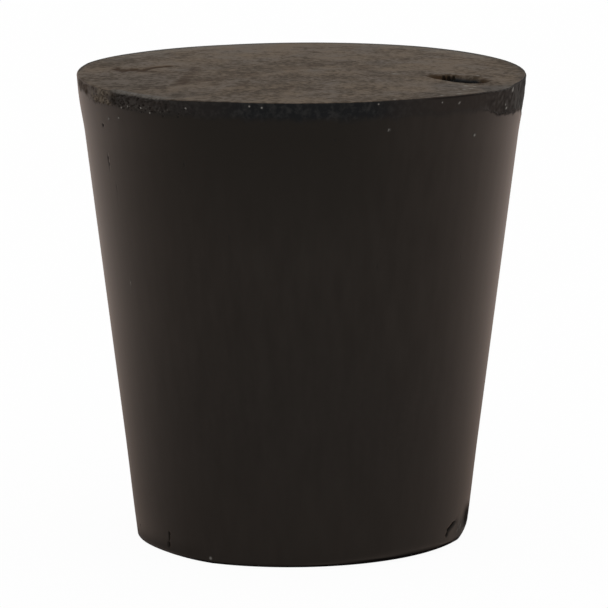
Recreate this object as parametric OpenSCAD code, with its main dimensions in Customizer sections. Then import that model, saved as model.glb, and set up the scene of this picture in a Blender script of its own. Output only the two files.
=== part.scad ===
// Solid rubber stopper for the neck of a laboratory flask or bottle.
// It is one moulding: a plain tapered plug with no hole, wide end up.
// Origin: centre of the narrow lower face, on the surface it stands on.
// +Z runs up the plug's axis to the wide top face. Sizes are in millimetres.

/* [Plug] */
// Diameter of the wide end, to the corner that its edge radius rounds off
top_d = 24; // [23:0.5:44]
// Diameter of the narrow end, to the corner that its edge radius rounds off
bottom_d = 17.8; // [12:0.1:20]
// Height from the lower face to the top face
height = 25.2; // [18:0.1:40]

/* [Edges] */
// Radius moulded round the lower edge, which leads the plug into a neck
lower_edge_r = 0.25; // [0.15:0.05:0.5]
// Radius left on the upper edge after trimming
upper_edge_r = 0.12; // [0.05:0.01:0.3]

/* [Worn side of the lower edge] */
// Radius that use has rubbed onto one side of the lower edge, at its deepest
worn_edge_r = 0.9; // [0.85:0.05:1.5]
// Direction of the deepest wear from the axis, in degrees from +X
worn_edge_azimuth = -51; // [-180:1:180]
// How far the wear runs off centre: more makes the worn side shorter
worn_edge_shift = 0.85; // [0.7:0.05:1.4]

/* [Trimmed band] */
// Height of the band below the upper edge where the mould flash was trimmed off
band_h = 0.8; // [0.5:0.1:2]
// Lean of the band's face from upright, in degrees: it is steeper than the taper
band_lean = 5; // [0:0.5:6]
// How far the foot of the band stands out from the taper
band_proud = 0.06; // [0.03:0.01:0.2]
// Height of the slope that runs the band out into the taper
band_run_out = 2.4; // [0.6:0.1:3]

/* [Gouge in the top face] */
// Length of the gouge
gouge_l = 4.3; // [3.4:0.1:4.6]
// Width of the gouge
gouge_w = 2.3; // [1:0.1:2.6]
// Depth of the gouge at its middle
gouge_depth = 0.4; // [0.2:0.05:0.5]
// Distance from the plug's axis to the middle of the gouge
gouge_offset = 8.7; // [4:0.1:8.8]
// Direction of the gouge from the axis, in degrees from +X
gouge_azimuth = -18; // [-180:1:180]
// Turn of the gouge's length away from that direction, in degrees
gouge_turn = -18; // [-90:1:90]

/* [Hidden] */
$fn = 128;

top_r = top_d / 2;
bottom_r = bottom_d / 2;

// The band's face leans in from the upper corner down to its foot.
band_foot_z = height - band_h;
run_out_z = band_foot_z - band_run_out;
function band_r(z) = top_r - (height - z) * tan(band_lean);

// The taper is straight from the lower corner to a point behind the band's foot.
taper = atan((band_r(band_foot_z) - band_proud - bottom_r) / band_foot_z);
function taper_r(z) = bottom_r + z * tan(taper);

// Centre of an arc of radius r that touches the lower face and the tapered wall, and of one
// that touches the top face and the band.
function lower_arc(r) = [taper_r(r) - r / cos(taper), r];
function upper_arc(r) = [band_r(height - r) - r / cos(band_lean), height - r];

// Wear stops this far short of blending into the wall and the face.
worn_edge_crease = 0.02;

// A tool shaped like a wheel's rim dips into the face: its arc along the wheel gives the
// gouge's length, and its arc across the rim gives the width, both at the same depth.
function dip_r(chord, depth) = (pow(chord / 2, 2) + pow(depth, 2)) / (2 * depth);
gouge_tool_r = dip_r(gouge_l, gouge_depth);
gouge_rim_r = dip_r(gouge_w, gouge_depth);

rubber_black = [0.15, 0.13, 0.12];

// Area outside a rounded corner: a sector of reach r * 3 from the arc's centre, less the arc's circle.
module corner_waste(arc_centre, r, from_angle, to_angle) {
    function ray(angle, length) = arc_centre + length * [cos(angle), sin(angle)];
    middle = (from_angle + to_angle) / 2;
    difference() {
        polygon([
            arc_centre,
            ray(from_angle, 2 * r),
            ray(middle, 3 * r),
            ray(to_angle, 2 * r)
        ]);
        translate(arc_centre) circle(r = r);
    }
}

// Half section of the plug, with the axis at x = 0.
module half_section() {
    difference() {
        polygon([
            [0, 0],
            [bottom_r, 0],
            [taper_r(run_out_z), run_out_z],
            [band_r(band_foot_z), band_foot_z],
            [band_r(height), height],
            [0, height]
        ]);
        corner_waste(lower_arc(lower_edge_r), lower_edge_r, -90, -taper);
        corner_waste(upper_arc(upper_edge_r), upper_edge_r, -band_lean, 90);
    }
}

// What use has rubbed off the lower edge: a ring a little off centre, so that it bites on one
// side and runs clear of the plug on the other.
module worn_edge_waste() {
    off_centre = [worn_edge_shift + worn_edge_crease, -worn_edge_crease];
    rotate([0, 0, worn_edge_azimuth])
        translate([-worn_edge_shift, 0, 0])
            rotate_extrude()
                corner_waste(lower_arc(worn_edge_r) + off_centre, worn_edge_r, -90, -taper);
}

// The wheel-shaped tool that cuts the gouge, at its place over the top face.
module gouge_tool() {
    rotate([0, 0, gouge_azimuth])
        translate([gouge_offset, 0, height - gouge_depth + gouge_tool_r])
            rotate([0, 0, gouge_turn])
                rotate([90, 0, 0])
                    rotate_extrude()
                        translate([gouge_tool_r - gouge_rim_r, 0])
                            circle(r = gouge_rim_r);
}

// The whole stopper: the turned form of its mould, less its wear and the gouge in its top face.
module stopper() {
    color(rubber_black)
        difference() {
            rotate_extrude() half_section();
            worn_edge_waste();
            gouge_tool();
        }
}

stopper();
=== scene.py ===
import math

import bmesh
import bpy
import numpy as np
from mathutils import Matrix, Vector, noise


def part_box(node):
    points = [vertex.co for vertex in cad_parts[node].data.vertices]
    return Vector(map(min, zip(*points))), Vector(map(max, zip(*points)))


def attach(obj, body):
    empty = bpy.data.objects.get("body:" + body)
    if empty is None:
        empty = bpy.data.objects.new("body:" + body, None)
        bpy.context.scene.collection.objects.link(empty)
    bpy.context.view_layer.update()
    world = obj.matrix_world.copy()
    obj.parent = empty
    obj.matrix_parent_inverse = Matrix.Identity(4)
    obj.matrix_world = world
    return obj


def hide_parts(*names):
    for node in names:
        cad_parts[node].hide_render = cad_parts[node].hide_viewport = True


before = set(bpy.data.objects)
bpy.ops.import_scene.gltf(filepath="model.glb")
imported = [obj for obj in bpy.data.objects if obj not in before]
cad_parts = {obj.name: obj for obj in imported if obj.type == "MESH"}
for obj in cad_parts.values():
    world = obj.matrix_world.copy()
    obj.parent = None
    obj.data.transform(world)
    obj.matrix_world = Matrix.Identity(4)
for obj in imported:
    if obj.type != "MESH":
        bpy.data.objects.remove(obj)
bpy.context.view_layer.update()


# ---- Moulded plug ---------------------------------------------------------------------------
# The stopper is one solid moulding in black rubber, wide end up, with no hole. Its mould gives it
# a straight taper and a small radius round the lower edge. Sizes are in millimetres, and the
# height and the width over the top come from the CAD solid.
MM = 0.001
low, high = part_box("stopper")
HEIGHT = (high.z - low.z) / MM
TOP_R = min(high.x, high.y, -low.x, -low.y) / MM
TOP_EDGE_R = 0.12
BOTTOM_R = 8.828
FOOT_SPREAD = 0.036
SPREAD_FULL_Z = 1
SPREAD_GONE_Z = 5.5
LOWER_EDGE_R = 0.1

# The flash was trimmed off round the top, which left a band that leans less than the taper, and
# a slope under it that runs it out into the taper.
BAND_H = 0.8
BAND_LEAN = math.radians(5)
BAND_PROUD = 0.06
BAND_RUN_OUT = 2.4
BAND_FOOT_Z = HEIGHT - BAND_H
BAND_FOOT_R = TOP_R - (BAND_H - TOP_EDGE_R) * math.tan(BAND_LEAN)
SLOPE = (BAND_FOOT_R - BAND_PROUD - BOTTOM_R) / BAND_FOOT_Z
TAPER = math.atan(SLOPE)

# Use has rubbed the front right of the lower edge back to a larger radius. A ring that is off
# centre takes the corner off there and misses it elsewhere. Shorter stretches at the left and the
# right are rubbed too: each gives an azimuth, the radius that it adds and how short it is.
WORN_EDGE_R = 0.98
WORN_EDGE_AT = math.radians(-53)
WORN_EDGE_SHIFT = 0.98
RUBBED = ((-148, 0.3, 16), (0, 1.0, 14))

# The mesh is divided most finely at the foot, at the rim and in the outer half of the top face.
COLUMNS = 360
FOOT_H = 1.2
NICKED_Z = (1.4, 2.4)
PLAIN_Z = (2.6, HEIGHT - 3.4)
GOUGED_R = 6.3
MIDDLE_R = 0.7


def rise(start, end, value):
    """0 before start, 1 after end, and an S-shaped rise between them."""
    t = np.clip((value - start) / (end - start), 0, 1)
    return t * t * (3 - 2 * t)


def wall_radius(z):
    """Radius of the wall at height z, with the trimmed band and without the edge radii."""
    taper = BOTTOM_R + z * SLOPE + FOOT_SPREAD * (1 - rise(SPREAD_FULL_Z, SPREAD_GONE_Z, z))
    band = TOP_R - np.maximum(HEIGHT - TOP_EDGE_R - z, 0) * math.tan(BAND_LEAN)
    return taper + (band - taper) * rise(BAND_FOOT_Z - BAND_RUN_OUT, BAND_FOOT_Z, z)


def edge_radius(z, r, shift):
    """Radius at height z of a rounding of radius r that touches the lower face and the wall."""
    centre = BOTTOM_R + FOOT_SPREAD + r * SLOPE - r / math.cos(TAPER) + shift
    below = np.maximum(r - z, 0)
    return np.where(z > r, TOP_R, centre + np.sqrt(np.maximum(r * r - below * below, 0)))


def outer_radius(z, azimuth):
    """Radius of the plug at height z: the wall, the moulded radius or the wear, whichever is less."""
    shift = WORN_EDGE_SHIFT * (1 - np.cos(azimuth - WORN_EDGE_AT))
    worn = edge_radius(z, WORN_EDGE_R, shift)
    moulded_r = LOWER_EDGE_R
    for place, r, shortness in RUBBED:
        moulded_r = moulded_r + r * np.maximum(np.cos(azimuth - math.radians(place)), 0) ** shortness
    return np.minimum(np.minimum(worn, edge_radius(z, moulded_r, 0)), wall_radius(z))


def plug_rings():
    """Rings of points from the lower face, up the wall and over the top edge to the top face."""
    azimuth = np.radians(np.arange(COLUMNS) * 360 / COLUMNS)
    edge_z = HEIGHT - TOP_EDGE_R
    flat_r = TOP_R - TOP_EDGE_R
    foot = FOOT_H * (1 - np.cos(np.linspace(0, np.pi / 2, 12)))
    nicked = np.linspace(*NICKED_Z, 6)
    plain = np.linspace(*PLAIN_Z, 16)
    rim = np.linspace(PLAIN_Z[1], edge_z, 18)[1:]
    bottom_r = outer_radius(0.0, azimuth)
    steps = [(bottom_r * share, 0.0) for share in (0.15, 0.5, 0.75, 0.9, 0.97)]
    steps += [(outer_radius(z, azimuth), z) for z in np.concatenate((foot, nicked, plain, rim))]
    for turn in np.linspace(0, np.pi / 2, 5)[1:]:
        steps.append((flat_r + TOP_EDGE_R * np.cos(turn), edge_z + TOP_EDGE_R * np.sin(turn)))
    steps += [(r, HEIGHT) for r in np.linspace(flat_r, GOUGED_R, 29)[1:]]
    steps += [(r, HEIGHT) for r in np.linspace(GOUGED_R, MIDDLE_R, 13)[1:]]
    level = np.ones(COLUMNS)
    return [np.stack([r * np.cos(azimuth), r * np.sin(azimuth), z * level], axis=1) for r, z in steps]


def plug_mesh():
    """A closed mesh through the rings, with a fan of triangles at the middle of each end."""
    mesh = bmesh.new()
    rows = [[mesh.verts.new(point) for point in ring] for ring in plug_rings()]
    bottom = mesh.verts.new((0, 0, 0))
    top = mesh.verts.new((0, 0, HEIGHT))
    for i in range(COLUMNS):
        j = (i + 1) % COLUMNS
        mesh.faces.new((bottom, rows[0][j], rows[0][i]))
        mesh.faces.new((top, rows[-1][i], rows[-1][j]))
        for under, over in zip(rows, rows[1:]):
            mesh.faces.new((under[i], under[j], over[j], over[i]))
    return mesh


plug = plug_mesh()


# ---- Trimmed rim ----------------------------------------------------------------------------
# A knife cut the flash off round the top edge. The strip that it left is bare rubber, nearly
# black and a little rough, with a ragged lower limit. STRIP gives azimuths in degrees, how far
# down the strip reaches there and how plainly it shows.
STRIP = ((-180, 0.4, 0.1), (-165, 0.4, 0.1), (-146, 0.7, 0.1), (-143, 0.7, 0.9), (-100, 0.85, 1),
         (-75, 0.85, 1), (-60, 0.8, 0.8), (-42, 0.9, 0.9), (0, 0.9, 1), (90, 0.8, 1), (180, 0.4, 0.1))
STRIP_DEPTH = 0.012

# These give azimuths and shares: where the cut rubber is reddish, where the top face is soiled
# beside the strip, and where a grey sheen is painted on the top face just inside the edge.
REDDISH = ((-150, 0.6), (-132, 0.5), (-112, 0.35), (-104, 0), (-72, 0), (-64, 0.5), (-55, 0.9),
           (-42, 1), (-33, 1), (-28, 0))
SOILED_LEFT = ((-150, 0), (-140, 1), (-110, 1), (-98, 0), (180, 0))
SOILED_RIGHT = ((-68, 0), (-60, 1), (-25, 1), (-15, 0))
SOILED_END = ((-20, 0), (-12, 1), (12, 1), (25, 0))
BACK_RIM_SHEEN = ((20, 0), (35, 1), (58, 1), (80, 0.1), (105, 0.2), (115, 1), (150, 1), (168, 0))

# What the wear leaves on the rubber, and where sheen and shade are painted on it, each as a share
# from 0 to 1 that the material reads.
FINISHES = ("bloom_and_sheen", "bare", "brown", "torn", "pale", "shade_and_dirt", "grey")


class Skin:
    """The points of the plug's surface, how far wear sinks each one, and how it is finished."""

    def __init__(self, points):
        self.points = points
        self.x, self.y, self.z = points.T
        self.azimuth = np.degrees(np.arctan2(self.y, self.x))
        # Distance from the top edge: over it and down the wall, or less than 0 on the top face.
        self.over = HEIGHT - self.z - (TOP_R - np.hypot(self.x, self.y))
        self.sunk = np.zeros(len(points))
        self.finish = {name: np.zeros(len(points)) for name in FINISHES}

    def add(self, name, amount):
        self.finish[name] = np.maximum(self.finish[name], amount)

    def lumps(self, size, where, stretch=(1, 1, 1)):
        """Smooth noise from -1 to 1 where asked, with lumps about size millimetres across."""
        places = self.points / (size * np.array(stretch))
        return np.array([noise.noise(place) if ask else 0 for place, ask in zip(places, where)])

    def cells(self, size, where, stretch=(1, 1, 1)):
        """Distance to the nearest of many scattered points that are about size millimetres apart."""
        places = self.points / (size * np.array(stretch))
        found = [noise.voronoi(place)[0][0] if ask else 1 for place, ask in zip(places, where)]
        return np.array(found)

    def by_azimuth(self, places, stray=0):
        """A value that follows these pairs of azimuth and value, out of place by stray degrees."""
        return np.interp(self.azimuth + stray, *zip(*places))

    def spot(self, at, length, width, turn=0.0):
        """1 in the middle of an oval on the top face, falling to 0 at its outline."""
        along = (self.x - at[0]) * math.cos(turn) + (self.y - at[1]) * math.sin(turn)
        across = (self.y - at[1]) * math.cos(turn) - (self.x - at[0]) * math.sin(turn)
        reach = np.hypot(along / (length / 2), across / (width / 2))
        return (1 - rise(0.4, 1, reach)) * (self.z > HEIGHT - 0.5)

    def line(self, places, half_width):
        """1 on the line through these places, falling to 0 at half_width from it."""
        nearest = np.full(len(self.points), 99.0)
        for start, end in zip(places, places[1:]):
            way = np.array(end) - start
            share = np.clip((self.points - start) @ way / (way @ way), 0, 1)
            gap = np.linalg.norm(self.points - start - share[:, None] * way, axis=1)
            nearest = np.minimum(nearest, gap)
        return 1 - rise(0, half_width, nearest)

    def dot(self, place, radius):
        """1 round a place on the surface, falling to 0 at radius from it."""
        return 1 - rise(0.3 * radius, radius, np.linalg.norm(self.points - place, axis=1))


def refine(mesh, inside, times):
    """Splits each face whose middle is inside into four, as many times over."""
    for _ in range(times):
        edges = {edge for face in mesh.faces if inside(face.calc_center_median()) for edge in face.edges}
        bmesh.ops.subdivide_edges(mesh, edges=list(edges), cuts=1, use_grid_fill=True)


def in_front_rim(spot):
    return spot.y < 0.3 and HEIGHT - 1.5 < spot.z and math.hypot(spot.x, spot.y) > 11.2


refine(plug, in_front_rim, 1)


def trim_rim(skin):
    # The whole top face takes the bloom, whose colours hold its grazing sheen, painted in.
    skin.add("bloom_and_sheen", 1 - rise(-0.1, 0, skin.over))
    near = (skin.over > -1.8) & (skin.over < 2.6)
    azimuths, depths, shares = zip(*STRIP)
    deep = np.interp(skin.azimuth, azimuths, depths)
    ragged = 0.14 * skin.lumps(0.7, near) + 0.08 * skin.lumps(0.2, near)
    strip = (1 - rise(deep - 0.25, deep + 0.2, skin.over + ragged)) * near
    strip = strip * rise(-0.09, -0.03, skin.over + 0.25 * ragged)
    strip = strip * np.interp(skin.azimuth, azimuths, shares)
    skin.add("bare", strip)
    skin.sunk += strip * STRIP_DEPTH * (1 + skin.lumps(0.25, near))
    skin.add("torn", strip * skin.by_azimuth(REDDISH))

    inside = near * (1 - rise(-0.15, 0, skin.over))
    soiled = rise(-0.7, -0.2, skin.over) * skin.by_azimuth(SOILED_LEFT)
    soiled = np.maximum(soiled, rise(-0.5, -0.1, skin.over) * skin.by_azimuth(SOILED_RIGHT))
    skin.add("bare", 0.2 * inside * soiled)
    skin.add("bare", 0.4 * inside * skin.by_azimuth(SOILED_END) * rise(-0.7, -0.1, skin.over))
    reach = 0.12 + 0.32 * np.abs(skin.y) / TOP_R
    back_line = rise(-reach - 0.08, -reach, skin.over)
    skin.add("bare", 0.85 * inside * (skin.y > 0) * back_line)

    # A grey sheen painted on the top face just inside the edge, mostly at the back.
    painted_sheen = 0.17 * skin.by_azimuth(BACK_RIM_SHEEN) * near
    skin.add("pale", painted_sheen * rise(-1.7, -1.2, skin.over) * (1 - rise(-0.4, -0.2, skin.over)))


# ---- Sponged rim at the left ----------------------------------------------------------------
# At the left the edge is worn round, and the rubber is spongy: the knife opened its bubbles, whose
# holes are painted black as shade, with pale dust between them. A brown blotch lies beside them.
EDGE_WORN = 0.05
HOLE_DEPTH = 0.06
HOLE_GAP = 0.2
RIM_INNER_R = 11.4

# Azimuths and shares of the worn edge, the blotch, the bubbles, the brown among the bubbles, and
# the scuffed top face beside them.
WORN_ROUND = ((-180, 0), (-170, 0), (-160, 1), (-130, 1), (-112, 0))
BLOTCH = ((-174, 0), (-169, 1), (-161, 1), (-157, 0))
SPONGY = ((-158, 0), (-155, 1), (-130, 1), (-112, 0))
BROWNED = ((-180, 1), (-149, 1), (-143, 0.1), (-125, 0))
SCUFFED = ((-149, 0), (-145, 1), (-128, 1), (-123, 0))


def on_wall(azimuth, z):
    """Place on the wall in millimetres from an azimuth in degrees and a height."""
    turn = math.radians(azimuth)
    radius = float(outer_radius(z, turn))
    return radius * math.cos(turn), radius * math.sin(turn), z


def in_rim(spot, start, end, depth):
    """Whether it lies in the rim, between two azimuths and no more than depth below the top."""
    azimuth = math.degrees(math.atan2(spot.y, spot.x))
    in_ring = HEIGHT - depth < spot.z and math.hypot(spot.x, spot.y) > RIM_INNER_R
    return in_ring and start < azimuth < end


def in_left_rim(spot):
    return in_rim(spot, -162, -110, 1.3)


refine(plug, in_left_rim, 1)


def sponge_left_rim(skin):
    near = (skin.over > -1.2) & (skin.over < 1.5) & (skin.azimuth < -100)
    below = skin.over + 0.15 * skin.lumps(0.5, near)
    stray = 3 * skin.lumps(0.45, near) + 2 * skin.lumps(0.15, near)
    round_edge = near * skin.by_azimuth(WORN_ROUND)
    skin.sunk += EDGE_WORN * round_edge * (1 - rise(0, 0.3, np.abs(skin.over)))

    blotch = near * skin.by_azimuth(BLOTCH, stray)
    blotch = blotch * rise(0, 0.15, below) * (1 - rise(0.4, 0.65, below))
    # The blotch takes some bloom colour, with its painted sheen.
    skin.add("bloom_and_sheen", 0.5 * blotch)
    skin.add("brown", 0.85 * blotch)
    skin.add("shade_and_dirt", 0.5 * blotch * rise(-0.1, 0.4, skin.lumps(0.2, blotch > 0)))

    spongy = near * skin.by_azimuth(SPONGY, stray)
    spongy = spongy * rise(-0.15, 0.05, below) * (1 - rise(0.65, 0.9, below))
    holes = spongy * (1 - rise(0.2, 0.5, skin.cells(HOLE_GAP, spongy > 0, (1, 1, 0.65))))
    skin.sunk += HOLE_DEPTH * holes
    # Black painted in the holes stands for their shade.
    skin.add("shade_and_dirt", 0.45 * holes)
    brown = skin.by_azimuth(BROWNED, stray)
    skin.add("torn", 0.75 * spongy * (1 - brown))
    # The brown sponge takes bloom colour too, with its painted sheen.
    skin.add("bloom_and_sheen", spongy * brown)
    skin.add("pale", 0.1 * spongy * brown)
    skin.add("brown", 0.9 * holes * brown)
    skin.add("shade_and_dirt", 0.5 * spongy * skin.dot(on_wall(-145, HEIGHT - 0.5), 0.5))
    low_down = rise(0.4, 0.6, below) * (1 - brown)
    skin.add("pale", 0.4 * spongy * low_down * rise(0.3, 0.7, skin.lumps(0.1, spongy > 0)))
    skin.add("pale", 0.08 * spongy * rise(-0.2, 0.4, skin.lumps(0.2, spongy > 0)))
    reddish = skin.line((on_wall(-131, HEIGHT - 0.15), on_wall(-126.8, HEIGHT - 0.3)), 0.13)
    skin.add("torn", 0.9 * reddish)

    scuffed = near * skin.by_azimuth(SCUFFED)
    scuffed = scuffed * rise(-0.8, -0.5, skin.over) * (1 - rise(0, 0.1, skin.over))
    skin.add("bare", 0.55 * scuffed)
    skin.add("pale", 0.35 * scuffed * rise(-0.6, 0.3, skin.lumps(0.15, scuffed > 0)))


# ---- Torn rim at the right ------------------------------------------------------------------
# At the right the strip tore away deeper than it was cut. The torn rubber is a little reddish and
# has upright grooves, and it ends below in a lip, under which a black line is painted as its shadow.
# Beside the tear the edge has a black cut line and pale chips. TEAR gives azimuths and how far down
# the lip lies.
TEAR = ((-43, 0.75), (-36, 0.9), (-32, 1.15), (-20, 1.45), (-12, 1.5), (-4, 1.9), (3, 2.0), (10, 1.6))
TEAR_DEPTH = 0.02
UNDERCUT = 0.04
TEAR_ROUGHNESS = 0.015

# Azimuths and shares of the tear, how deep it is, its grooves, the scraped top face beside it and
# the cut line. Each chip gives an azimuth, how far down it lies and its radius.
TORN = ((-39, 0), (-33, 1), (2, 1), (10, 0))
DEEP = ((-14, 1), (-4, 0.5))
GROOVED = ((-22, 0), (-14, 1))
SCRAPED = ((-44, 0), (-38, 1), (-22, 1), (-17, 0))
CUT_EDGE = ((-58, 0), (-54, 1), (-36, 1), (-30, 0))
CHIPS = ((-21.7, 0.24, 0.2), (-24.9, 1.2, 0.13), (-25.7, 0.95, 0.09), (-46.9, 0.42, 0.07))


def in_right_rim(spot):
    return in_rim(spot, -45, 8, 1.9)


refine(plug, in_right_rim, 1)


def tear_right_rim(skin):
    near = (skin.over > -0.8) & (skin.over < 2.2) & (np.abs(skin.azimuth) < 60)
    depth = skin.by_azimuth(TEAR) + 0.12 * skin.lumps(0.6, near) + 0.05 * skin.lumps(0.15, near)
    torn = near * skin.by_azimuth(TORN) * rise(-0.05, 0.1, skin.over)
    above_lip = 1 - rise(depth - 0.03, depth + 0.03, skin.over)
    undercut = rise(0.3, 1, skin.over / depth)
    deep = skin.by_azimuth(DEEP)
    skin.sunk += torn * above_lip * (TEAR_DEPTH + UNDERCUT * undercut) * deep
    skin.sunk += torn * above_lip * TEAR_ROUGHNESS * (1 + skin.lumps(0.22, torn > 0)) * deep
    skin.add("torn", torn * above_lip)
    # Painted shadow: a black line just under the lip.
    lip = rise(depth - 0.02, depth + 0.02, skin.over)
    lip = lip * (1 - rise(depth + 0.05, depth + 0.14, skin.over))
    skin.add("shade_and_dirt", 0.7 * torn * lip)
    mottled = skin.lumps(0.25, torn > 0)
    skin.add("pale", 0.08 * torn * above_lip * rise(0, 0.6, mottled))
    skin.add("shade_and_dirt", 0.3 * torn * above_lip * rise(0, 0.6, -mottled))
    grooved = torn * above_lip * skin.by_azimuth(GROOVED)
    grooves = skin.lumps(0.22, torn > 0, (1, 1, 5))
    skin.add("pale", 0.26 * grooved * rise(0, 0.5, grooves))
    skin.add("shade_and_dirt", 0.45 * grooved * rise(0, 0.4, -grooves))

    scraped = near * skin.by_azimuth(SCRAPED)
    scraped = scraped * rise(-0.7, -0.4, skin.over) * (1 - rise(0, 0.12, skin.over))
    skin.add("bare", 0.35 * scraped)
    skin.add("pale", 0.15 * scraped * rise(-0.5, 0.3, skin.lumps(0.2, scraped > 0)))
    cut_edge = near * skin.by_azimuth(CUT_EDGE)
    cut_edge = cut_edge * rise(-0.03, 0.02, skin.over) * (1 - rise(0.06, 0.14, skin.over))
    skin.add("shade_and_dirt", 0.5 * cut_edge)
    for azimuth, below, radius in CHIPS:
        skin.add("pale", 0.9 * skin.dot(on_wall(azimuth, HEIGHT - below), radius))


# ---- Gouge ----------------------------------------------------------------------------------
# A lump was torn out of the top face near its right edge. The scoop is steepest at its near side,
# where black is painted as its shade, and it has cut bubbles at its middle, their rims painted black
# as shade, brown ends that run out shallow and a pale burr along its far side.
GOUGE_AT = (8.3, -2.45)
GOUGE_TURN = math.radians(-33)
GOUGE_L = 4.3
GOUGE_W = 2.3
GOUGE_DEPTH = 0.42
BUBBLES = ((7.53, -1.5), (7.8, -1.52), (8.05, -1.6))
BUBBLE_L = 0.28
BUBBLE_W = 0.75
BUBBLE_DEPTH = 0.12
BURR = ((8.9, -1.65), (9.45, -1.9))
BURR_W = 0.4
BURR_H = 0.04


def on_top(places):
    """Places on the top face from their x and y."""
    return [(x, y, HEIGHT) for x, y in places]


def in_top(spot):
    return spot.z > HEIGHT - 0.01


def round_gouge(spot):
    return in_top(spot) and math.hypot(spot.x - GOUGE_AT[0], spot.y - GOUGE_AT[1]) < 2.4


refine(plug, round_gouge, 2)


def cut_gouge(skin):
    scoop = skin.spot(GOUGE_AT, GOUGE_L, GOUGE_W, GOUGE_TURN)
    x, y = skin.x - GOUGE_AT[0], skin.y - GOUGE_AT[1]
    along = x * math.cos(GOUGE_TURN) + y * math.sin(GOUGE_TURN)
    across = (y * math.cos(GOUGE_TURN) - x * math.sin(GOUGE_TURN)) / (GOUGE_W / 2)
    near_side = 1 - rise(-0.5, 0.7, across)
    uneven = 1 + 0.3 * skin.lumps(0.5, scoop > 0)
    skin.sunk += GOUGE_DEPTH * (rise(0, 0.6, scoop) * (0.45 + 0.55 * near_side) * uneven)
    skin.add("bare", rise(0.15, 0.7, scoop))
    ends = rise(0.3, 0.6, np.abs(along) / (GOUGE_L / 2))
    skin.add("brown", 0.85 * rise(0.05, 0.4, scoop) * ends)
    # Painted shade: black inside the near side of the scoop.
    black = 0.85 * rise(0.3, 0.8, scoop) * (1 - rise(0.1, 0.9, across))
    skin.add("shade_and_dirt", black * rise(-1.5, -0.8, along))
    for place in BUBBLES:
        bubble = skin.spot(place, BUBBLE_L, BUBBLE_W)
        core = skin.spot(place, BUBBLE_L / 2, BUBBLE_W / 2)
        skin.sunk += BUBBLE_DEPTH * bubble
        # Painted shade: black round the rim of each bubble.
        skin.add("shade_and_dirt", 0.8 * rise(0, 0.3, bubble) * (1 - core))
    burr = skin.line(on_top(BURR), BURR_W / 2)
    skin.sunk -= BURR_H * burr
    skin.add("pale", 0.1 * burr)


# ---- Crease and stains on the top face ------------------------------------------------------
# The top face has a crease at the left, where the rubber folded in the mould, and brown stains
# that run across it, mostly left of the middle. In places it is a little darker or greyer all
# over. A fold is an oval, with its place, length and width.
CREASE = ((-9.95, 0.75), (-9.6, 0.15), (-9.1, 0.45), (-8.6, 0.2), (-7.95, 1.35), (-7.1, 1.95))
CREASE_W = 0.8
CREASE_DEPTH = 0.05
FOLDS = (((-9.85, 0.8), 0.5, 2.0), ((-9.5, 0.15), 0.7, 1.6), ((-8.95, 0.5), 1.0, 1.5),
         ((-8.4, 0.25), 0.6, 1.4))
FORK = ((-8.6, 0.05), (-7.7, -0.35), (-6.75, -0.55))
FORK_W = 0.7

# Each stain gives its places, half its width and how brown it is. A dulled or greyed oval gives
# its place, length, width and share.
STAINS = (
    (((-5.6, 1.35), (-5.75, -0.25), (-6.0, -2.05), (-6.2, -3.45)), 0.45, 0.9),
    (((-6.2, -3.65), (-6.35, -4.85)), 0.65, 1),
    (((-5.6, -3.95), (-4.7, -3.45), (-4.1, -2.45), (-2.9, -2.05)), 0.7, 0.55),
    (((-2.7, -1.65), (-2.6, -0.65)), 0.4, 0.5),
    (((-4.6, -4.95), (-4.5, -5.25)), 0.45, 0.9),
    (((-3.1, -4.65), (-3.0, -6.15)), 0.5, 0.55),
    (((-1.2, 0.55), (0.3, 1.95), (2.0, 3.35)), 0.9, 0.4),
    (((3.4, 2.05), (3.2, 0.35)), 0.7, 0.45),
    (((-0.6, -5.65), (-0.7, -6.85)), 0.4, 0.6),
    (((0.4, -6.85), (1.2, -7.15)), 0.4, 0.6),
    (((9.1, 2.85), (9.7, 2.65), (10.05, 2.25)), 0.3, 0.8),
    (((5.5, 4.35), (5.6, 5.15)), 0.35, 0.8),
)
DULLED = (((-9, -3.5), 6, 9, 0.12), ((-6.4, -8), 5, 4, 0.2), ((7.7, -4.9), 2.6, 2.6, 0.2),
          ((7.4, -8.3), 3.2, 2.4, 0.22), ((10.2, -5.4), 3, 3.6, 0.4))
GREYED = (((-8.5, -3.5), 8, 8, 0.6), ((7.9, -6), 3.6, 6, 0.8), ((10.2, -5.4), 3, 3.6, 0.8))


def round_crease(spot):
    return in_top(spot) and abs(spot.x + 8.4) < 2.1 and abs(spot.y - 0.7) < 1.8


refine(plug, round_crease, 1)


def stain_top(skin):
    fold = skin.line(on_top(CREASE), CREASE_W / 2)
    fold = np.maximum(fold, 0.4 * skin.line(on_top(FORK), FORK_W / 2))
    for place, length, width in FOLDS:
        fold = np.maximum(fold, 0.8 * skin.spot(place, length, width))
    fold = fold * (1 + 0.6 * skin.lumps(0.25, fold > 0))
    skin.sunk += CREASE_DEPTH * fold
    skin.add("brown", np.clip(1.4 * fold, 0, 1))
    for places, half_width, share in STAINS:
        stain = skin.line(on_top(places), half_width)
        patchy = rise(-0.5, 0.3, skin.lumps(0.35, stain > 0))
        skin.add("brown", share * rise(0, 0.7, stain) * (0.25 + 0.75 * patchy))
    for place, length, width, share in DULLED:
        skin.add("bare", share * skin.spot(place, length, width))
    for place, length, width, share in GREYED:
        skin.add("grey", share * skin.spot(place, length, width))


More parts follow.
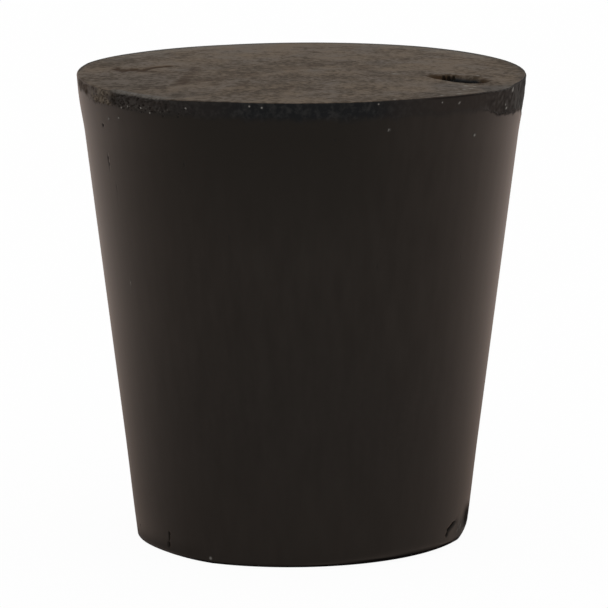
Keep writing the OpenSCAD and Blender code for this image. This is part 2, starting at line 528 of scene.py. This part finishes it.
# ---- Nicks at the lower edge ----------------------------------------------------------------
# The lower edge is nicked on both sides: a short upright slit with a hole under it at the left,
# and a slanting cut at the right, each painted black inside as shade. Beside each the wall is rubbed
# bare and dirty, and where the plug meets what it stands on black is painted as contact shadow. Each
# nick has its places, half its width and the share of black painted in it.
SLIT = (on_wall(-141.1, 1.25), on_wall(-141.4, 0.85))
SLIT_TOP = (on_wall(-141.1, 1.25), on_wall(-141.0, 1.2))
SLIT_HOLE = (on_wall(-141.9, 0.66), on_wall(-142.0, 0.52))
CUT_TOP = (on_wall(-22.9, 1.5), on_wall(-26, 1.4))
CUT = (on_wall(-26.3, 1.38), on_wall(-28, 1.27), on_wall(-30, 1.13))
CUT_END = (on_wall(-30.5, 0.93), on_wall(-30.8, 0.88))
NICKS = ((SLIT, 0.08, 0.5), (SLIT_TOP, 0.11, 0.7), (SLIT_HOLE, 0.16, 0.8), (CUT_TOP, 0.12, 0.6),
         (CUT, 0.21, 0.9), (CUT_END, 0.17, 0.8))
NICK_DEPTH = 0.08
FLAKE = (on_wall(-21.5, 1.5), on_wall(-21, 1.2))

# Azimuths and shares of what the foot of the wall shows, and last, by azimuth, the height to which
# the foot is painted black as contact shadow.
FOOT_TOP = 3.5
CHIPPED = ((-32, 0), (-20, 1), (8, 1), (30, 0))
RUBBED_FOOT = ((-180, 0.6), (-148, 0.6), (-135, 0.4), (-115, 0))
FLECKED = ((-26, 0), (-21, 1), (-14, 1), (-11, 0))
DIRTY = ((-19, 0), (-14, 1), (-5, 0.9), (3, 0.5), (14, 0))
DIRT_UNEVEN = ((-12, 0), (0, 1))
CONTACT_SHADE_H = ((-180, 0.12), (-120, 0.13), (-80, 0.26), (-50, 0.42), (20, 0.42), (60, 0.12))


def near_nicks(spot):
    return any((spot - Vector(place)).length < 0.9 for place in (SLIT[1], CUT[2]))


refine(plug, near_nicks, 2)


def nick_lower_edge(skin):
    for places, half_width, share in NICKS:
        nick = skin.line(places, half_width)
        skin.sunk += NICK_DEPTH * nick
        # Black painted in each nick stands for its shade.
        skin.add("shade_and_dirt", share * nick)

    foot = skin.z < FOOT_TOP
    chipped = foot * skin.by_azimuth(CHIPPED) * (1 - rise(0.9, 2.5, skin.z))
    skin.add("bare", 0.8 * chipped)
    rubbed = foot * skin.by_azimuth(RUBBED_FOOT)
    skin.add("bare", rubbed * (1 - rise(0.1, 1.4, skin.z)))
    skin.add("shade_and_dirt", 0.45 * rubbed * (1 - rise(0.3, 1.2, skin.z)))
    flecked = foot * skin.by_azimuth(FLECKED)
    flecked = flecked * rise(0.3, 0.45, skin.z) * (1 - rise(1.1, 1.5, skin.z))
    skin.add("pale", 0.3 * flecked * rise(0.1, 0.5, skin.lumps(0.14, flecked > 0)))
    skin.add("pale", 0.15 * skin.line(FLAKE, 0.15))

    dirt = foot * skin.by_azimuth(DIRTY)
    uneven = skin.z + 0.5 * skin.lumps(1.2, dirt > 0) * skin.by_azimuth(DIRT_UNEVEN)
    dirt = dirt * rise(0.6, 1.0, uneven) * (1 - rise(1.6, 2.3, uneven))
    skin.add("shade_and_dirt", 0.85 * dirt)
    # Painted contact shadow: black along the foot up to this height.
    contact_shade_z = skin.by_azimuth(CONTACT_SHADE_H)
    skin.add("shade_and_dirt", 0.95 * foot * (1 - rise(contact_shade_z - 0.06, contact_shade_z + 0.06, skin.z)))


# ---- Grit and pinholes ----------------------------------------------------------------------
# Grains of dust stick to the rubber here and there, and a few pinholes show in the wall. A place
# on the wall is an azimuth, a height and a radius, and one on the top face is x, y and a radius.
WALL_GRIT = ((-147.4, 14.8, 0.09), (-40, 22.85, 0.13), (-68, 23.64, 0.12), (-122.6, 0.3, 0.14),
             (-148.3, 23.58, 0.13), (-143.3, 23.73, 0.11), (-139.2, 24.53, 0.09), (-141.7, 24.39, 0.08),
             (-134.2, 24.56, 0.08), (-131.1, 24.35, 0.08), (-119.9, 24.77, 0.08), (-102.9, 25.01, 0.07),
             (-99.8, 24.95, 0.07), (-70.8, 25.05, 0.06), (-52.7, 24.9, 0.06))
TOP_GRIT = ((4.9, -1.2, 0.2), (8.6, -4.8, 0.2), (9.05, -5.0, 0.17), (8.45, -6.5, 0.17), (8.85, -5.9, 0.2),
            (8.15, -8.3, 0.2), (9.3, -1.6, 0.2), (7.23, -9.1, 0.14), (4.76, -10.8, 0.12))
PINHOLES = ((-164.2, 0.95, 0.09), (-121.7, 21.6, 0.09), (-134.9, 19.5, 0.08), (-109.7, 18.0, 0.08),
            (-101.7, 16.1, 0.07), (-69, 16.4, 0.07), (-40.4, 16.3, 0.08), (-81.7, 23.2, 0.08),
            (-152.1, 23.08, 0.14), (-151.9, 21.35, 0.12), (-151.7, 21.05, 0.12), (-149, 19.95, 0.1),
            (-126.8, 24.25, 0.1), (-122.2, 24.28, 0.1))
GRIT = [on_wall(azimuth, z) + (radius,) for azimuth, z, radius in WALL_GRIT]
GRIT += [(x, y, HEIGHT, radius) for x, y, radius in TOP_GRIT]
HOLES = [on_wall(azimuth, z) + (radius,) for azimuth, z, radius in PINHOLES]
SPECK_REACH = 0.2

# How far a grain stands out and a pinhole goes in, as shares of its radius.
GRAIN_PROUD = 0.12
HOLE_SUNK = 0.3


def near_speck(spot, up=0.3):
    """Whether it lies beside one of these specks and no further above or below it than up."""
    return any(math.hypot(spot.x - x, spot.y - y) < SPECK_REACH and abs(spot.z - z) < up
               for x, y, z, _ in GRIT + HOLES)


def in_tall_faces(spot):
    """The same, on the plain wall, whose faces are the tallest."""
    return PLAIN_Z[0] < spot.z < PLAIN_Z[1] and near_speck(spot, 0.7)


refine(plug, in_tall_faces, 1)
refine(plug, near_speck, 2)


def scatter_grit(skin):
    for *place, radius in GRIT:
        grain = skin.dot(place, radius)
        skin.sunk -= GRAIN_PROUD * radius * grain
        skin.add("pale", 0.85 * grain)
    for *place, radius in HOLES:
        hole = skin.dot(place, radius)
        skin.sunk += HOLE_SUNK * radius * hole
        skin.add("bare", 0.5 * hole)
        skin.add("shade_and_dirt", 0.1 * hole)


# ---- The plug's finished skin ---------------------------------------------------------------
# The marks are pressed into the moulded form along its normals, and what each leaves on the
# rubber goes into point attributes that the material reads.
MARKS = (trim_rim, sponge_left_rim, tear_right_rim, cut_gouge, stain_top, nick_lower_edge, scatter_grit)

# The top is a little hollow and the knife wandered, so the rim isn't level. RIM_DIP gives azimuths
# and how far the rim lies below its highest place there.
HOLLOW = 0.03
RIM_DIP = ((-180, 0.03), (-165, 0.12), (-130, 0.18), (-108, 0.07), (-60, 0.03), (-46, 0.09),
           (-36, 0.13), (-31, 0.2), (-24, 0.22), (-20, 0.12), (-10, 0.1), (20, 0.055), (57, 0.016),
           (110, 0.08), (140, 0.06), (165, 0), (180, 0.03))
DIP_FROM_R = 6
DIP_FULL_R = 11.5
DIP_H = 2.5


def settle(points):
    """Moves points of the wall that splitting left on a chord out to the plug's true radius."""
    x, y, z = points.T
    radius = np.hypot(x, y)
    on_side = (z > 0.001) & (z < HEIGHT - TOP_EDGE_R)
    true = np.where(on_side, outer_radius(z, np.arctan2(y, x)), radius)
    scale = true / np.maximum(radius, 0.001)
    return np.stack([x * scale, y * scale, z], axis=1)


def dipped(points):
    """The points with the rim's dips, which fade out down the wall and in towards the middle."""
    x, y, z = points.T
    rim = np.interp(np.degrees(np.arctan2(y, x)), *zip(*RIM_DIP))
    dip = HOLLOW + (rim - HOLLOW) * rise(DIP_FROM_R, DIP_FULL_R, np.hypot(x, y))
    return np.stack([x, y, z - dip * rise(HEIGHT - DIP_H, HEIGHT, z)], axis=1)


def finished_plug():
    points = settle(np.array([vert.co for vert in plug.verts]))
    for vert, point in zip(plug.verts, points):
        vert.co = point
    plug.normal_update()
    normals = np.array([vert.normal for vert in plug.verts])
    skin = Skin(points)
    for mark in MARKS:
        mark(skin)
    mesh = bpy.data.meshes.new("rubber_plug")
    plug.to_mesh(mesh)
    plug.free()
    worn = dipped(points - skin.sunk[:, None] * normals)
    mesh.vertices.foreach_set("co", (worn * MM).ravel())
    for name, amount in skin.finish.items():
        mesh.attributes.new(name, "FLOAT", "POINT").data.foreach_set("value", amount.astype(np.float32))
    mesh.shade_smooth()
    return mesh


stopper = bpy.data.objects.new("rubber_plug", finished_plug())
bpy.context.scene.collection.objects.link(stopper)
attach(stopper, "root")
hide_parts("stopper")


# ---- Rubber ---------------------------------------------------------------------------------
# Black rubber with a brownish bloom. The moulded wall has a soft sheen, the top face is duller
# and dustier, with its grazing sheen painted into the bloom's colours, and where the rubber was cut
# it is bare and nearly black. Shade in holes, cuts and along the contact line is painted black.
class Wire:
    """One output of a node. Arithmetic on wires adds Math nodes to the tree that they are in."""

    def __init__(self, tree, socket=None):
        self.tree = tree
        self.socket = socket

    def node(self, kind, settings, inputs, output=0):
        """Adds a node: its settings first, then the value or the link of each socket."""
        node = self.tree.nodes.new(kind)
        for name, value in settings.items():
            setattr(node, name, value)
        for name, value in inputs.items():
            if isinstance(value, Wire):
                self.tree.links.new(value.socket, node.inputs[name])
            else:
                node.inputs[name].default_value = value
        return Wire(self.tree, node.outputs[output] if node.outputs else None)

    def math(self, operation, first, second):
        return self.node("ShaderNodeMath", {"operation": operation}, {0: first, 1: second})

    def __add__(self, other):
        return self.math("ADD", self, other)

    def __mul__(self, other):
        return self.math("MULTIPLY", self, other)

    def __sub__(self, other):
        return self.math("SUBTRACT", self, other)

    def __rsub__(self, other):
        return self.math("SUBTRACT", other, self)

    __radd__ = __add__
    __rmul__ = __mul__

    def ramp(self, start, end):
        """0 below start, 1 above end, and a straight rise between them."""
        return self.node("ShaderNodeMapRange", {}, {"Value": self, "From Min": start, "From Max": end})

    def colour(self, first, second):
        """First where this wire is 0 and second where it is 1."""
        return self.node("ShaderNodeMix", {"data_type": "RGBA"}, {0: self, 6: first, 7: second}, 2)


def empty_material(name):
    """A new material with an empty tree, and a wire that starts it."""
    material = bpy.data.materials.new(name)
    material.use_nodes = True
    material.node_tree.nodes.clear()
    return material, Wire(material.node_tree)


def rubber_material():
    material, start = empty_material("black_rubber")
    wall = (0.0100, 0.0080, 0.0065, 1)
    wall_streak = (0.0138, 0.0112, 0.0093, 1)
    # Painted shade for the wall under the rim.
    wall_shade = (0.0075, 0.0062, 0.0048, 1)
    low_wall_colour = (0.0185, 0.0148, 0.0122, 1)
    # Bloom colours, which also hold the top face's grazing sheen, painted in.
    pale_bloom_and_sheen = (0.1140, 0.0850, 0.0590, 1)
    grey_bloom_and_sheen = (0.1010, 0.0850, 0.0720, 1)
    dark_bloom_and_sheen = (0.0450, 0.0310, 0.0190, 1)
    cut = (0.0085, 0.0087, 0.0091, 1)
    cut_dust = (0.0190, 0.0185, 0.0180, 1)
    brown_stain = (0.0320, 0.0170, 0.0070, 1)
    red_tear = (0.0220, 0.0165, 0.0135, 1)
    # Pale dust, also used for the grey sheen painted inside the back of the rim.
    pale_dust_and_sheen = (0.1900, 0.1780, 0.1600, 1)
    # Black painted as shade in holes, cuts and along the contact line, and as dirt.
    black = (0.0020, 0.0020, 0.0020, 1)

    place = start.node("ShaderNodeTexCoord", {}, {}, "Object")
    height = place.node("ShaderNodeSeparateXYZ", {}, {"Vector": place}, "Z")
    back = place.node("ShaderNodeSeparateXYZ", {}, {"Vector": place}, "Y")

    def mottle(size, detail, stretch=1.0):
        """Cloudy variation about 0 with blotches about size millimetres across."""
        spread = place.node("ShaderNodeMapping", {}, {"Vector": place, "Scale": (1, 1, 1 / stretch)})
        settings = {"Vector": spread, "Scale": 1 / (size * MM), "Detail": detail, "Roughness": 0.6}
        return place.node("ShaderNodeTexNoise", {}, settings) - 0.5

    def finish(name):
        return start.node("ShaderNodeAttribute", {"attribute_name": name}, {}, "Fac")

    bloom_and_sheen, bare, brown, torn, pale, shade_and_dirt, grey = [finish(name) for name in FINISHES]

    # The top face has pale and dark bloom in blotches of three sizes, paler towards the back, and its
    # colours hold the face's grazing sheen, painted in. The cut rubber has specks of dust.
    top = bloom_and_sheen * (1 - bare)
    bloom_and_sheen_tone = mottle(3, 3) * 2.5 + mottle(1, 3) * 2.4 + mottle(0.3, 6) * 4.5
    bloom_and_sheen_tone = bloom_and_sheen_tone + back.ramp(3 * MM, 11 * MM) * 0.45 + back.ramp(-11 * MM, -6 * MM) * 0.08 + 0.47
    greyish = (mottle(2.5, 2) * 2.5 + 0.25).ramp(0, 1)
    bloom_and_sheen_colour = grey.math("MAXIMUM", grey, greyish).colour(pale_bloom_and_sheen, grey_bloom_and_sheen)
    specks = (mottle(0.3, 4) * 5 + 0.2).ramp(0, 1)
    matt = top.colour(specks.colour(cut, cut_dust), bloom_and_sheen_tone.ramp(0, 1).colour(dark_bloom_and_sheen, bloom_and_sheen_colour))

    # Low down the wall turns duller and a little lighter, and every mark has its own colour.
    low_on_wall = height.ramp(13 * MM, 3 * MM) * 0.35
    matt = (low_on_wall * 2.8).colour(matt, low_wall_colour)
    matt = torn.colour(matt, red_tear)
    matt = brown.colour(matt, brown_stain)
    matt = pale.colour(matt, pale_dust_and_sheen)
    bump = place.node("ShaderNodeBump", {}, {
        "Strength": 0.6, "Distance": 0.03 * MM, "Height": mottle(0.25, 4),
    })
    dull = place.node("ShaderNodeBsdfPrincipled", {}, {
        "Base Color": matt, "Roughness": 0.75, "Specular IOR Level": 0.05, "Normal": bump,
    })

    # The moulded wall has upright streaks, and painted shade darkens it near the top under the rim, a
    # little left of its middle.
    aside = place.node("ShaderNodeSeparateXYZ", {}, {"Vector": place}, "X") + 2 * MM
    streaks = (mottle(0.6, 4, 6) * 2.5 + 0.5).ramp(0, 1).colour(wall, wall_streak)
    shade_under_rim = height.ramp(17 * MM, 23 * MM) * (1 - (aside * aside).ramp(16 * MM * MM, 64 * MM * MM))
    soft = place.node("ShaderNodeBsdfPrincipled", {}, {
        "Base Color": shade_under_rim.colour(streaks, wall_shade),
        "Roughness": 0.52 - height.ramp(0, 16 * MM) * 0.112,
        "Specular IOR Level": 0.1, "Specular Tint": (1, 0.95, 0.9, 1),
        "Sheen Weight": 0.128, "Sheen Roughness": 0.42, "Sheen Tint": (1, 0.35, 0.02, 1),
    })

    # The soft skin of the mould turns dull where it has bloom with painted sheen, or is cut or marked,
    # and is painted black as shade in holes, cuts and along the contact line, and where it is dirty.
    cover = bloom_and_sheen.math("MAXIMUM", bloom_and_sheen, bare)
    for mark in (brown, torn, pale, low_on_wall):
        cover = cover.math("MAXIMUM", cover, mark)
    skin = start.node("ShaderNodeMixShader", {}, {0: cover, 1: soft, 2: dull})
    # A black diffuse painted in as shade, and as dirt where the rubber is dirty.
    hole = start.node("ShaderNodeBsdfDiffuse", {}, {"Color": black})
    both = start.node("ShaderNodeMixShader", {}, {0: shade_and_dirt, 1: skin, 2: hole})
    start.node("ShaderNodeOutputMaterial", {}, {"Surface": both})
    return material


stopper.data.materials.append(rubber_material())


# ---- Floor ----------------------------------------------------------------------------------
# A wide sheet of white paper lies under the stopper. It looks plain white from the camera, and
# a little of it stays paper, which keeps a faint shadow.
FLOOR_SPAN = 8.0
FLOOR_GAP = 0.02 * MM
GLOW_SHARE = 0.96


def paper_material():
    material, start = empty_material("white_paper")
    rays = [start.node("ShaderNodeLightPath", {}, {}, name)
            for name in ("Is Camera Ray", "Is Glossy Ray", "Is Transmission Ray")]
    paper = start.node("ShaderNodeBsdfDiffuse", {}, {"Color": (0.9, 0.9, 0.9, 1)})
    glow = start.node("ShaderNodeEmission", {}, {"Color": (1, 1, 1, 1), "Strength": 1.0})
    white = (rays[0] + rays[1] + rays[2]) * GLOW_SHARE
    both = start.node("ShaderNodeMixShader", {}, {0: white, 1: paper, 2: glow})
    start.node("ShaderNodeOutputMaterial", {}, {"Surface": both})
    return material


bpy.ops.mesh.primitive_plane_add(size=FLOOR_SPAN, location=(0, 0, low.z - FLOOR_GAP))
floor = bpy.context.object
floor.name = "floor"
floor.data.materials.append(paper_material())


# ---- Light ----------------------------------------------------------------------------------
# Even white light comes from all round, as through the cloth of a light tent. It is a little
# stronger from the right.
LIGHT = 0.95
FROM_THE_RIGHT = 0.17
tent = bpy.data.worlds.new("light_tent")
tent.use_nodes = True
tent.node_tree.nodes.clear()
start = Wire(tent.node_tree)
way = start.node("ShaderNodeTexCoord", {}, {}, "Generated")
right = start.node("ShaderNodeSeparateXYZ", {}, {"Vector": way}, "X")
cloth = start.node("ShaderNodeBackground", {}, {
    "Color": (1, 1, 1, 1), "Strength": right * FROM_THE_RIGHT + LIGHT,
})
start.node("ShaderNodeOutputWorld", {}, {"Surface": cloth})
bpy.context.scene.world = tent


# ---- Camera ---------------------------------------------------------------------------------
# It stands a little above the stopper and looks down at its front through a long lens. Its aim
# is a touch to the right of the axis and below half height.
ELEVATION = math.radians(10.4)
DISTANCE = 276 * MM
FOCAL_LENGTH = 304.2
CLIP_START = 0.01
AIM = Vector((0.122 * MM, 0, (high.z + low.z) / 2 - 0.05 * MM))
camera = bpy.data.objects.new("camera", bpy.data.cameras.new("camera"))
bpy.context.scene.collection.objects.link(camera)
camera.location = AIM + DISTANCE * Vector((0, -math.cos(ELEVATION), math.sin(ELEVATION)))
camera.rotation_euler = (math.pi / 2 - ELEVATION, 0, 0)
camera.data.lens = FOCAL_LENGTH
camera.data.clip_start = CLIP_START
bpy.context.scene.camera = camera
bpy.context.scene.view_settings.view_transform = "Standard"
